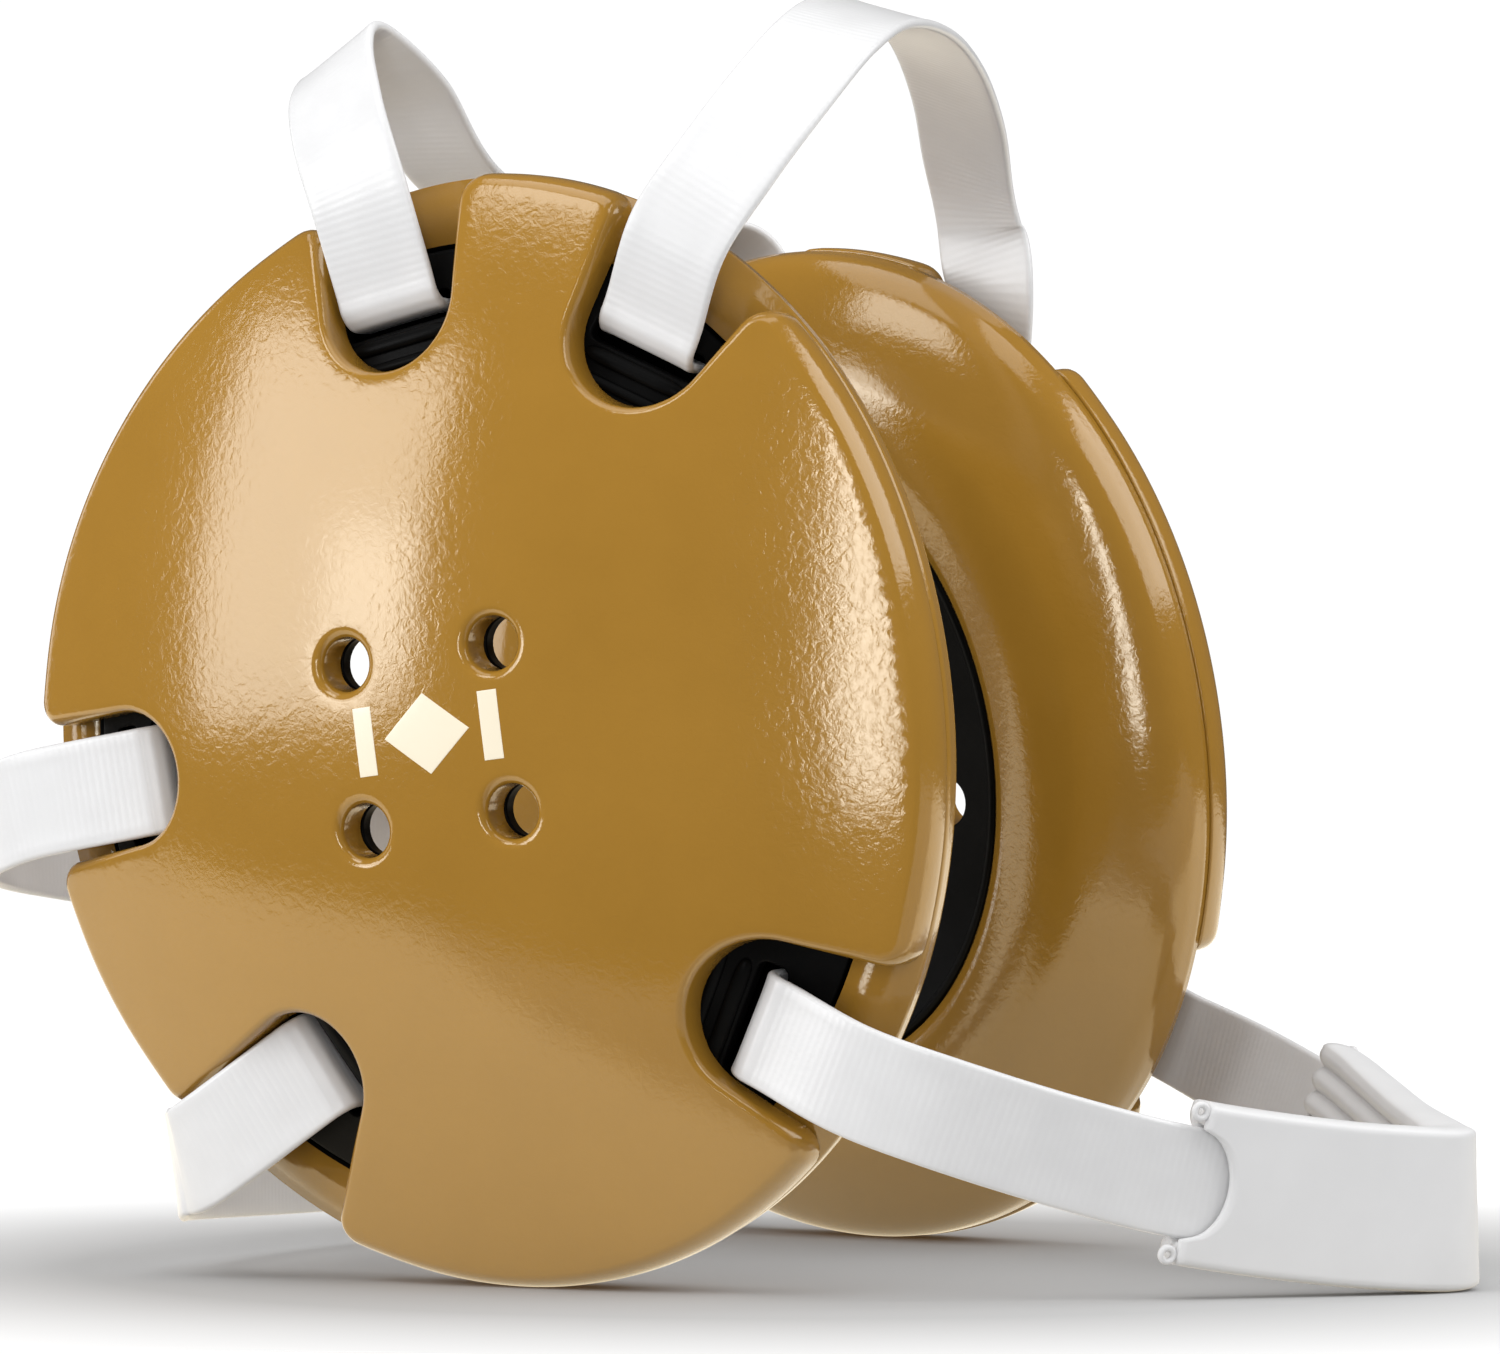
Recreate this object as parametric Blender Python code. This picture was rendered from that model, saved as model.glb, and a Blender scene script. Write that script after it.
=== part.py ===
"""Wrestling ear guard: two padded guards joined by five webbing straps and a chin cup.

The headgear stands on the rims of its guards, on the chin cup and on the lower
back strap. +X is the wearer's front, +Y the wearer's left and +Z up.
"""
import bmesh
import bpy
import numpy as np
from mathutils import Matrix

MM = 0.001

# Driving dimensions, in millimetres and degrees
RIM_HALF_HEIGHT = 75.0
RIM_HALF_WIDTH = 67.8
EGG = -0.017              # how far the rim departs from an ellipse, three times round
EDGE_HEIGHT = 5.0         # the pad's face above the rim plane, at the rim
CROWN_HEIGHT = 14.5       # how much higher the pad's middle stands
PAD_THICKNESS = 6.0
SHOULDER = 4.2            # how far the pad's outer edge is rounded down
PAD_EDGE = [(0.976, 0.22 * SHOULDER), (0.994, 0.6 * SHOULDER), (1.0, SHOULDER),
            (1.0, PAD_THICKNESS)]
CUP_THICKNESS = 2.2
CUP_REACH = 0.872         # the black cup's flange, as a part of the way to the rim
RING_REACH = 0.992        # the cushion stops just short of the pad's edge
COLLAR_HALF_WIDTH = 36.0  # outside of the cup's collar round the ear
COLLAR_HALF_HEIGHT = 46.5
COLLAR_WALL = 1.6
COLLAR_END = -11.5        # the collar's end, towards the head
CUSHION_CREST = -15.0     # the cushion's highest line, towards the head
GAP = 0.3                 # between pieces that touch
FLAT_REACH = 0.085        # a small flat in the middle of the dome
COLUMNS = 36              # facets round a guard
STRAP_STEPS = 2           # stations to a row of a strap's table

VENT_SPACING = 22.3
VENT_RADIUS = 3.65
STRAP_WIDTH = 15.0
STRAP_THICKNESS = 1.4
SLOT_LENGTH = 16.6
SLOT_WIDTH = 4.0
BAR_WIDTH = 2.8

CHIN_CUP_HEIGHT = 22.0
CHIN_CUP_WALL = 1.4
CHIN_CUP_ROOM = (STRAP_WIDTH + 0.8, STRAP_THICKNESS + 0.7)
END_CUT_DEPTH = 7.0
RIBS = 6                  # lengthwise ribs on the chin side
RIB_HEIGHT = 1.5
END_CUT_RADIUS = 6.6      # the outer wall is cut back in an arc between the two rolled edges

# The middle of the whole's box, seen from above, from the right guard's foot
BOX_MIDDLE = (16.02, 58.41)

# Each guard: foot on the floor, turn about +Z, lean of its outer side, and the side
# on which its outer face lies (1 towards -Y). Both are turned alike in their own plane
GUARDS = {
    "right": dict(foot=(0.0, 0.0), yaw=0.0, lean=2.6, side=1),
    "left": dict(foot=(-1.7, 113.3), yaw=-10.1, lean=7.3, side=-1),
}
ROLL = 6.75

# Each notch: middle of its round end (front, up), radius, direction to the rim,
# flare of each wall, mouth rounding, the strap's slot (front, up), and the strap's
# direction and its height at the rim, each on the right guard and on the left one
NOTCHES = {
    "crown_rear": dict(end=(-2.7, 59.3), radius=9.8, axis=93, flare=5, mouth=3.5,
                       slot=(-4.2, 57.5), heading=(96, 101), exit=(8.2, 8.2)),
    "crown_front": dict(end=(34.0, 49.3), radius=9.9, axis=56, flare=9, mouth=3.5,
                        slot=(32.4, 47.7), heading=(58, 69), exit=(8.2, 4.6)),
    "back_upper": dict(end=(-51.0, 0.3), radius=9.2, axis=183, flare=1, mouth=3.5,
                       slot=(-47.5, -0.2), heading=(183, 183), exit=(8.2, 8.2)),
    "back_lower": dict(end=(-29.0, -43.5), radius=9.4, axis=223, flare=15, mouth=3.5,
                       slot=(-27.8, -41.2), heading=(207, 222), exit=(8.6, 8.2)),
    "chin": dict(end=(40.2, -42.6), radius=10.8, axis=327, flare=10, mouth=3.5,
                 slot=(36.0, -42.6), heading=(329, 325), exit=(8.2, 8.2)),
}

# The free stretch of each strap from the right guard to the left one: x, y, z of
# its middle line, then the direction across the webbing
STRAP_ROUTES = {
    "crown_rear": [
        (-19.0, -9.4, 157.0, 14.4, -0.8, 4.8),
        (-24.2, -2.0, 165.2, 13.4, -1.2, 7.2),
        (-26.0, 6.0, 168.4, 13.0, -3.0, 7.2),
        (-24.4, 19.0, 164.0, 13.6, -4.4, 4.0),
        (-24.0, 34.0, 154.0, 14.2, -4.0, 1.6),
        (-23.6, 60.0, 147.6, 14.6, -3.0, 0.6),
        (-23.6, 84.0, 147.0, 14.7, -2.6, 0.4),
        (-24.0, 100.0, 149.4, 14.7, -1.5, 0.2),
        (-23.4, 109.6, 151.4, 14.8, -1.5, 2.0),
    ],
    "crown_front": [
        (39.0, -8.0, 149.6, 13.8, 0.4, -5.8),
        (43.2, -1.0, 159.2, 13.9, 0.6, -5.4),
        (45.0, 10.0, 167.8, 14.2, 0.5, -4.6),
        (43.6, 25.0, 172.8, 14.4, 0.4, -4.2),
        (40.4, 46.0, 174.2, 14.3, 0.2, -4.6),
        (36.2, 66.0, 171.6, 14.2, 0.0, -4.6),
        (31.4, 84.0, 165.8, 14.4, -0.4, -4.2),
        (27.0, 97.5, 158.4, 14.6, -1.0, -3.8),
        (26.2, 103.6, 151.0, 14.5, -1.3, -4.2),
    ],
    "back_upper": [
        (-78.0, -3.8, 62.2, 2.6, 0.0, -14.7),
        (-84.8, 7.0, 60.8, 2.4, 0.0, -14.8),
        (-87.8, 24.0, 59.2, 1.6, 0.0, -14.9),
        (-87.8, 50.0, 57.4, 0.6, 0.0, -15.0),
        (-86.4, 82.0, 58.4, -0.4, 0.6, -15.0),
        (-84.2, 110.0, 61.6, -0.8, 1.6, -14.9),
        (-79.4, 128.6, 63.6, -1.8, 2.0, -14.8),
    ],
    "back_lower": [
        (-46.9, -3.2, 15.7, 4.6, -2.0, -14.0),
        (-51.0, 3.4, 14.5, 3.4, -2.4, -14.2),
        (-56.2, 16.0, 13.9, 1.6, -0.6, -14.9),
        (-58.8, 44.0, 13.0, 0.2, 0.0, -15.0),
        (-58.4, 76.0, 12.2, 0.0, 0.0, -15.0),
        (-54.6, 106.0, 10.8, -2.0, 0.6, -14.8),
        (-46.2, 128.6, 10.6, -7.0, 2.2, -13.2),
    ],
    "chin": [
        (67.6, -3.0, 25.0, -5.0, 0.0, -14.1),
        (80.6, 7.6, 19.8, -4.2, 0.0, -14.4),
        (92.6, 21.0, 15.4, -3.0, -0.8, -14.7),
        (106.6, 36.0, 12.4, -1.8, -0.8, -14.9),
        (116.2, 46.6, 11.2, -0.8, -0.4, -15.0),
        (118.8, 52.6, 11.07, -0.2, 0.6, -15.0),
        (115.6, 58.8, 11.5, 0.6, 0.6, -15.0),
        (104.4, 72.0, 13.6, -0.6, -1.4, -14.9),
        (93.6, 85.0, 17.0, -2.2, -1.6, -14.8),
        (83.6, 95.6, 20.6, -3.6, -1.4, -14.5),
        (69.0, 108.4, 25.2, -4.4, -0.4, -14.3),
    ],
}
CHIN_CUP_ROWS = (2, 9)    # the chin route's rows between which the chin cup sits

COLOURS = {
    "gold": ((0.43, 0.235, 0.035), 0.3),
    "black": ((0.012, 0.012, 0.013), 0.45),
    "webbing": ((0.82, 0.82, 0.83), 0.4),
    "chin": ((0.74, 0.75, 0.76), 0.55),
}


def clear_scene():
    for thing in list(bpy.data.objects):
        bpy.data.objects.remove(thing, do_unlink=True)


def new_collection(name):
    collection = bpy.data.collections.new(name)
    bpy.context.scene.collection.children.link(collection)
    return collection


def new_material(name):
    (red, green, blue), roughness = COLOURS[name]
    material = bpy.data.materials.new(name)
    material.use_nodes = True
    shader = material.node_tree.nodes["Principled BSDF"]
    shader.inputs["Base Color"].default_value = (red, green, blue, 1.0)
    shader.inputs["Roughness"].default_value = roughness
    shader.inputs["Metallic"].default_value = 0.0
    return material


# The guard's plan and dome, in its own axes: front u, up v, outward w

def around():
    """The facets' angles, one of them at the point of the rim that stands on the floor."""
    t = np.linspace(0.0, 2.0 * np.pi, 3601)
    u, v = rim_oval(t)
    roll = np.radians(ROLL)
    lowest = t[np.argmin(u * np.sin(roll) + v * np.cos(roll))]
    return lowest + np.arange(COLUMNS) * 2.0 * np.pi / COLUMNS


def rim_radius(t):
    return RIM_HALF_HEIGHT * (1.0 + EGG * np.cos(3.0 * t))


def rim_oval(t):
    aspect = RIM_HALF_WIDTH / RIM_HALF_HEIGHT
    return rim_radius(t) * aspect * np.cos(t), rim_radius(t) * np.sin(t)


def collar_oval(t, grow=0.0):
    return (COLLAR_HALF_WIDTH + grow) * np.cos(t), (COLLAR_HALF_HEIGHT + grow) * np.sin(t)


def dome(u, v):
    """Height of the pad's face: a low paraboloid over the egg-shaped plan."""
    aspect = RIM_HALF_WIDTH / RIM_HALF_HEIGHT
    t = np.arctan2(v, u / aspect)
    reach = np.hypot(u / aspect, v) / rim_radius(t)
    return EDGE_HEIGHT + CROWN_HEIGHT * (1.0 - reach ** 2)


def loft(name, sections, side, closed):
    """Bridges rings of points with quads; the ends are capped or joined up."""
    mesh = bpy.data.meshes.new(name)
    work = bmesh.new()
    rings = []
    for u, v, w in sections:
        points = zip(u * MM, -side * w * MM, v * MM)
        rings.append([work.verts.new(point) for point in points])
    pairs = list(zip(rings, rings[1:]))
    if closed:
        pairs.append((rings[-1], rings[0]))
    for one, two in pairs:
        count = len(one)
        for i in range(count):
            j = (i + 1) % count
            work.faces.new((one[i], one[j], two[j], two[i]))
    if not closed:
        work.faces.new(rings[0])
        work.faces.new(rings[-1])
    bmesh.ops.recalc_face_normals(work, faces=work.faces)
    work.to_mesh(mesh)
    work.free()
    return mesh


def add_object(name, mesh, collection, parent=None, material=None):
    thing = bpy.data.objects.new(name, mesh)
    collection.objects.link(thing)
    thing.parent = parent
    if material:
        mesh.materials.append(material)
        mesh.shade_smooth()
        mesh.set_sharp_from_angle(angle=np.radians(40.0))
    return thing


def cut(thing, cutter):
    modifier = thing.modifiers.new(cutter.name, "BOOLEAN")
    modifier.operation = "DIFFERENCE"
    modifier.solver = "EXACT"
    modifier.object = cutter


# Cutters for vents, notches and strap slots

def hide_cutter(cutter):
    cutter.hide_render = True
    cutter.display_type = "WIRE"


def curve_cutter(name, outline, depth, collection, parent):
    """A flat outline in the guard's plane, extruded both ways and made a mesh."""
    curve = bpy.data.curves.new(name, "CURVE")
    curve.dimensions = "2D"
    curve.fill_mode = "BOTH"
    curve.extrude = depth * MM / 2.0
    spline = curve.splines.new("POLY")
    spline.points.add(len(outline) - 1)
    for point, (u, v) in zip(spline.points, outline):
        point.co = (u * MM, v * MM, 0.0, 1.0)
    spline.use_cyclic_u = True
    flat = bpy.data.objects.new(name, curve)
    collection.objects.link(flat)
    flat.matrix_world = Matrix.Rotation(np.radians(90.0), 4, "X")
    bpy.context.view_layer.update()
    graph = bpy.context.evaluated_depsgraph_get()
    mesh = bpy.data.meshes.new_from_object(flat.evaluated_get(graph))
    work = bmesh.new()
    work.from_mesh(mesh)
    bmesh.ops.transform(work, matrix=flat.matrix_world, verts=work.verts)
    bmesh.ops.remove_doubles(work, verts=work.verts, dist=0.0000005)
    bmesh.ops.recalc_face_normals(work, faces=work.faces)
    work.to_mesh(mesh)
    work.free()
    bpy.data.objects.remove(flat, do_unlink=True)
    cutter = bpy.data.objects.new(name, mesh)
    collection.objects.link(cutter)
    cutter.parent = parent
    hide_cutter(cutter)
    return cutter


def distance_to_rim(start, direction):
    """How far it is from a point of the plan to the rim, along a direction."""
    near, far = 0.0, 120.0
    aspect = RIM_HALF_WIDTH / RIM_HALF_HEIGHT
    for _ in range(40):
        middle = (near + far) / 2.0
        u, v = start + middle * direction
        t = np.arctan2(v, u / aspect)
        inside = np.hypot(u / aspect, v) < rim_radius(t)
        near, far = (middle, far) if inside else (near, middle)
    return near


def notch_outline(end, radius, axis, flare, mouth, **_):
    """A round end, two flared walls and two rounded corners at the mouth."""
    angle = np.radians(axis)
    along = np.array([np.cos(angle), np.sin(angle)])
    across = np.array([-along[1], along[0]])
    end = np.array(end)
    tilt = np.radians(flare)
    half = []
    for turn in np.linspace(np.pi, np.pi / 2.0 + tilt, 5):
        half.append((radius * np.cos(turn), radius * np.sin(turn)))
    wall_start = np.array(half[-1])
    wall = np.array([np.cos(tilt), np.sin(tilt)])
    start = end + along * wall_start[0] + across * wall_start[1]
    length = distance_to_rim(start, along * wall[0] + across * wall[1])
    corner = wall_start + wall * (length - mouth)
    for turn in np.radians([0.0, 25.0, 50.0, 75.0]):
        forward = mouth * np.sin(turn)
        sideways = mouth * (1.0 - np.cos(turn))
        half.append((corner[0] + forward * wall[0], corner[1] + forward * wall[1] + sideways))
    half.append((half[-1][0] + 14.0, half[-1][1] + 4.0))
    other = [(x, -y) for x, y in half[:0:-1]]
    return [tuple(end + along * x + across * y) for x, y in half + other]


def vent_cutters(guard, collection, parent):
    half = VENT_SPACING / 2.0
    cutters = []
    for number, (u, v) in enumerate([(-half, half), (half, half), (-half, -half), (half, -half)]):
        bpy.ops.mesh.primitive_cylinder_add(
            vertices=12, radius=VENT_RADIUS * MM, depth=0.09,
            location=(u * MM, 0.0, v * MM), rotation=(np.radians(90.0), 0.0, 0.0))
        cutter = bpy.context.object
        cutter.name = f"vent_cutter_{guard}_{number}"
        for old in list(cutter.users_collection):
            old.objects.unlink(cutter)
        collection.objects.link(cutter)
        cutter.parent = parent
        hide_cutter(cutter)
        cutters.append(cutter)
    return cutters


def strap_heading(notch, side):
    """The strap's direction in the guard's plane, and the one across it."""
    angle = np.radians(NOTCHES[notch]["heading"][0 if side > 0 else 1])
    along = np.array([np.cos(angle), np.sin(angle)])
    return along, np.array([-along[1], along[0]])


def slot_cutters(guard, notch, collection, parent, side):
    """Two strap slots with a bar between them, square to the strap."""
    u, v = NOTCHES[notch]["slot"]
    along, across = strap_heading(notch, side)
    cutters = []
    for number in range(2):
        middle = np.array([u, v]) + along * number * (SLOT_WIDTH + BAR_WIDTH)
        corners = [(-1, -1), (1, -1), (1, 1), (-1, 1)]
        outline = [tuple(middle + along * x * SLOT_WIDTH / 2.0 + across * y * SLOT_LENGTH / 2.0)
                   for x, y in corners]
        name = f"slot_cutter_{guard}_{notch}_{number}"
        cutter = curve_cutter(name, outline, 16.0, collection, parent)
        height = float(dome(*middle)) - PAD_THICKNESS - CUP_THICKNESS / 2.0
        cutter.location = (0.0, -side * height * MM, 0.0)
        cutters.append(cutter)
    return cutters


# The three shells of a guard

def pad_mesh(name, side):
    t = around()
    ru, rv = rim_oval(t)
    rows = [(reach, 0.0) for reach in (FLAT_REACH, 0.32, 0.52, 0.7, 0.85, 0.945)]
    rows += PAD_EDGE
    rows += [(reach, PAD_THICKNESS) for reach in (0.87, 0.7, 0.5, 0.3, FLAT_REACH)]
    sections = [(k * ru, k * rv, dome(k * ru, k * rv) - drop) for k, drop in rows]
    return loft(name, sections, side, closed=False)


def cup_mesh(name, side):
    t = around()
    ru, rv = rim_oval(t)
    top = PAD_THICKNESS + GAP
    under = top + CUP_THICKNESS
    sections = []
    for k in (FLAT_REACH, 0.3, 0.5, 0.7, CUP_REACH):
        sections.append((k * ru, k * rv, dome(k * ru, k * rv) - top))
    for k in (CUP_REACH, 0.76):
        sections.append((k * ru, k * rv, dome(k * ru, k * rv) - under))
    outer = collar_oval(t)
    inner = collar_oval(t, -COLLAR_WALL)
    end = np.full(COLUMNS, COLLAR_END)
    sections.append((*outer, dome(*outer) - under))
    sections.append((*outer, end))
    sections.append((*inner, end))
    sections.append((*inner, dome(*inner) - under - 1.5))
    for shrink in (0.9, 0.6):
        u, v = inner[0] * shrink, inner[1] * shrink
        sections.append((u, v, dome(u, v) - under))
    u, v = FLAT_REACH * ru, FLAT_REACH * rv
    sections.append((u, v, dome(u, v) - under))
    return loft(name, sections, side, closed=False)


def cushion_mesh(name, side):
    """The cushion's section: from the ear hole (0) to the rim (1), then its height."""
    t = around()
    outer = np.array(rim_oval(t)) * RING_REACH
    inner = np.array(collar_oval(t, GAP + 0.1))
    rim = np.array(rim_oval(t))
    seat = PAD_THICKNESS + GAP
    shelf = seat + CUP_THICKNESS + GAP
    sections = []
    for reach, drop in ((RING_REACH, seat), (CUP_REACH + 0.008, seat),
                        (CUP_REACH + 0.006, shelf), (0.845, shelf), (0.835, shelf + 3.6)):
        u, v = reach * rim
        sections.append((u, v, dome(u, v) - drop))
    u, v = inner
    sections.append((u, v, dome(u, v) - shelf - 3.6))
    face = [(0.0, COLLAR_END - 0.4), (0.035, -13.6), (0.13, CUSHION_CREST), (0.3, -14.4),
            (0.56, -11.2), (0.78, -9.2), (0.92, -7.6), (0.985, -5.2), (1.0, -2.6)]
    for share, height in face:
        u, v = inner + share * (outer - inner)
        sections.append((u, v, np.full(COLUMNS, height)))
    return loft(name, sections, side, closed=True)


# Where a guard stands, and how its own axes lie in the world

def guard_matrix(guard):
    sizes = GUARDS[guard]
    yaw, lean, roll = np.radians([sizes["yaw"], sizes["lean"], ROLL])
    away = np.array([np.sin(yaw) * np.cos(lean), -np.cos(yaw) * np.cos(lean), -np.sin(lean)])
    level = np.array([np.cos(yaw), np.sin(yaw), 0.0])
    rise = np.cross(away, level)
    front = np.cos(roll) * level + np.sin(roll) * rise
    up = np.cos(roll) * rise - np.sin(roll) * level
    u, v = rim_oval(around())
    rotation = np.stack([front, -away, up], axis=1)
    low = 0.0
    for reach, drop in PAD_EDGE:
        w = dome(reach * u, reach * v) - drop
        points = np.stack([reach * u, -sizes["side"] * w, reach * v])
        low = min(low, float((rotation @ points)[2].min()))
    matrix = np.eye(4)
    matrix[:3, :3] = rotation
    matrix[:3, 3] = (sizes["foot"][0] - BOX_MIDDLE[0], sizes["foot"][1] - BOX_MIDDLE[1], -low)
    return matrix


def to_world(guard, u, v, w):
    point = np.array([u, -GUARDS[guard]["side"] * w, v, 1.0])
    return (guard_matrix(guard) @ point)[:3]


# Straps and the chin cup

def strap_end(guard, notch):
    """A strap's last rows, from under its bar, up through the slot and out to the rim."""
    u, v = NOTCHES[notch]["slot"]
    side = GUARDS[guard]["side"]
    along, across = strap_heading(notch, side)
    exit_height = NOTCHES[notch]["exit"][0 if side > 0 else 1]
    start = np.array([u, v])
    flange = float(dome(u, v)) - PAD_THICKNESS - GAP
    reach = distance_to_rim(start, along)
    rows = [(0.0, flange - CUP_THICKNESS - 2.2), (0.0, flange - CUP_THICKNESS / 2.0),
            (0.35, flange + 0.4), (1.9, flange + 1.55), (5.0, flange + 1.9),
            (reach, exit_height)]
    middle = [to_world(guard, *(start + along * s), w) for s, w in rows]
    sideways = to_world(guard, *(start + across), flange) - to_world(guard, *start, flange)
    return np.array(middle), np.tile(sideways, (len(rows), 1))


def smooth(points, steps):
    """A Catmull-Rom curve through the rows, with so many steps to a row."""
    ends = np.vstack([2.0 * points[0] - points[1], points, 2.0 * points[-1] - points[-2]])
    share = np.arange(steps)[:, None] / steps
    runs = []
    for a, b, c, d in zip(ends, ends[1:], ends[2:], ends[3:]):
        runs.append(0.5 * (2.0 * b + (c - a) * share + (2.0 * a - 5.0 * b + 4.0 * c - d) * share ** 2
                           + (3.0 * b - a - 3.0 * c + d) * share ** 3))
    return np.vstack(runs + [points[-1:]])


def strap_line(notch, steps):
    """Middle line, direction across and direction through, for every station."""
    near, near_side = strap_end("right", notch)
    far, far_side = strap_end("left", notch)
    rows = np.array(STRAP_ROUTES[notch])
    shift = np.array([BOX_MIDDLE[0], BOX_MIDDLE[1], 0.0])
    free, free_side = rows[:, :3] - shift, rows[:, 3:]
    if np.dot(near_side[-1], free_side[0]) < 0.0:
        near_side = -near_side
    if np.dot(far_side[-1], free_side[-1]) < 0.0:
        far_side = -far_side
    middle = smooth(np.vstack([near, free, far[::-1]]), steps)
    unit = free_side / np.linalg.norm(free_side, axis=1)[:, None]
    across = smooth(np.vstack([near_side, unit, far_side[::-1]]), steps)
    along = np.gradient(middle, axis=0)
    along /= np.linalg.norm(along, axis=1)[:, None]
    across -= along * (across * along).sum(axis=1)[:, None]
    across /= np.linalg.norm(across, axis=1)[:, None]
    through = np.cross(along, across)
    return middle, across, through


def tube_mesh(name, middle, across, through, outline):
    """Carries a closed outline (across, through) along a line and caps its ends."""
    mesh = bpy.data.meshes.new(name)
    work = bmesh.new()
    rings = []
    for centre, side, out in zip(middle, across, through):
        points = [centre + side * a + out * b for a, b in outline]
        rings.append([work.verts.new(point * MM) for point in points])
    count = len(outline)
    for one, two in zip(rings, rings[1:]):
        for i in range(count):
            j = (i + 1) % count
            work.faces.new((one[i], one[j], two[j], two[i]))
    work.faces.new(rings[0])
    work.faces.new(rings[-1])
    bmesh.ops.recalc_face_normals(work, faces=work.faces)
    work.to_mesh(mesh)
    work.free()
    return mesh


def strap_mesh(name, notch):
    half, thin = STRAP_WIDTH / 2.0, STRAP_THICKNESS / 2.0
    outline = [(-half, -thin), (half, -thin), (half, thin), (-half, thin)]
    return tube_mesh(name, *strap_line(notch, STRAP_STEPS), outline)


def chin_cup(parts, cutters, material):
    """A ribbed sleeve on the chin strap, hollow for the webbing."""
    line = strap_line("chin", STRAP_STEPS)
    rows_before = len(strap_end("right", "chin")[0])
    first, last = ((rows_before + row) * STRAP_STEPS for row in CHIN_CUP_ROWS)
    room, depth = CHIN_CUP_ROOM[0] / 2.0, CHIN_CUP_ROOM[1] / 2.0
    half = CHIN_CUP_HEIGHT / 2.0
    outer, valley = -depth - CHIN_CUP_WALL, depth + CHIN_CUP_WALL
    edge = 1.2
    outline = [(-half, valley - edge), (-half, outer + edge), (-half + edge, outer),
               (half - edge, outer), (half, outer + edge), (half, valley - edge)]
    pitch = CHIN_CUP_HEIGHT / RIBS
    for rib in range(RIBS):
        top = half - rib * pitch
        outline.append((top - 0.3 * pitch, valley + RIB_HEIGHT))
        outline.append((top - 0.7 * pitch, valley + RIB_HEIGHT))
        if rib < RIBS - 1:
            outline.append((top - pitch, valley))
    body = [run[first:last + 1] for run in line]
    cup = add_object("chin_cup", tube_mesh("chin_cup", *body, outline), parts, None, material)
    tunnel = [(-room, -depth), (room, -depth), (room, depth), (-room, depth)]
    longer = [run[first - 2:last + 3] for run in line]
    bore = add_object("chin_cup_tunnel", tube_mesh("chin_cup_tunnel", *longer, tunnel), cutters)
    hide_cutter(bore)
    cut(cup, bore)
    for name, station in (("near", first), ("far", last)):
        middle, across, through = (run[station] for run in line)
        along = np.cross(across, through)
        bpy.ops.mesh.primitive_cylinder_add(vertices=16, radius=END_CUT_RADIUS * MM,
                                            depth=END_CUT_DEPTH * MM)
        scoop = bpy.context.object
        scoop.name = f"chin_cup_scoop_{name}"
        for old in list(scoop.users_collection):
            old.objects.unlink(scoop)
        cutters.objects.link(scoop)
        place = np.eye(4)
        place[:3, :3] = np.stack([along, across, through], axis=1)
        place[:3, 3] = (middle - through * (END_CUT_DEPTH / 2.0 + 0.2)) * MM
        scoop.matrix_world = Matrix(place.tolist())
        hide_cutter(scoop)
        cut(cup, scoop)


def build():
    clear_scene()
    parts = new_collection("ear_guard")
    cutters = new_collection("cutters")
    materials = {name: new_material(name) for name in COLOURS}
    for guard, sizes in GUARDS.items():
        side = sizes["side"]
        frame = bpy.data.objects.new(f"guard_{guard}", None)
        parts.objects.link(frame)
        pad = add_object(f"outer_pad_{guard}", pad_mesh(f"outer_pad_{guard}", side),
                         parts, frame, materials["gold"])
        cup = add_object(f"ear_cup_{guard}", cup_mesh(f"ear_cup_{guard}", side),
                         parts, frame, materials["black"])
        add_object(f"cushion_ring_{guard}", cushion_mesh(f"cushion_ring_{guard}", side),
                   parts, frame, materials["gold"])
        for cutter in vent_cutters(guard, cutters, frame):
            cut(pad, cutter)
            cut(cup, cutter)
        for notch, shape in NOTCHES.items():
            outline = notch_outline(**shape)
            cut(pad, curve_cutter(f"notch_cutter_{guard}_{notch}", outline, 60.0, cutters, frame))
            for cutter in slot_cutters(guard, notch, cutters, frame, side):
                cut(cup, cutter)
        place = guard_matrix(guard)
        place[:3, 3] *= MM
        frame.matrix_world = Matrix(place.tolist())
    names = {"crown_front": "crown_strap_front", "crown_rear": "crown_strap_rear",
             "back_upper": "back_strap_upper", "back_lower": "back_strap_lower",
             "chin": "chin_strap"}
    for notch, name in names.items():
        add_object(name, strap_mesh(name, notch), parts, None, materials["webbing"])
    chin_cup(parts, cutters, materials["chin"])


build()
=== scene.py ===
"""Wrestling ear guard, in the frame of its solids.

+X is the wearer's front, +Y the wearer's left and +Z up. Shapes are worked out in
millimetres and stored in metres.
"""

import bmesh
import bpy
import numpy as np
from mathutils import Matrix, Vector
from mathutils.geometry import delaunay_2d_cdt


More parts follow.
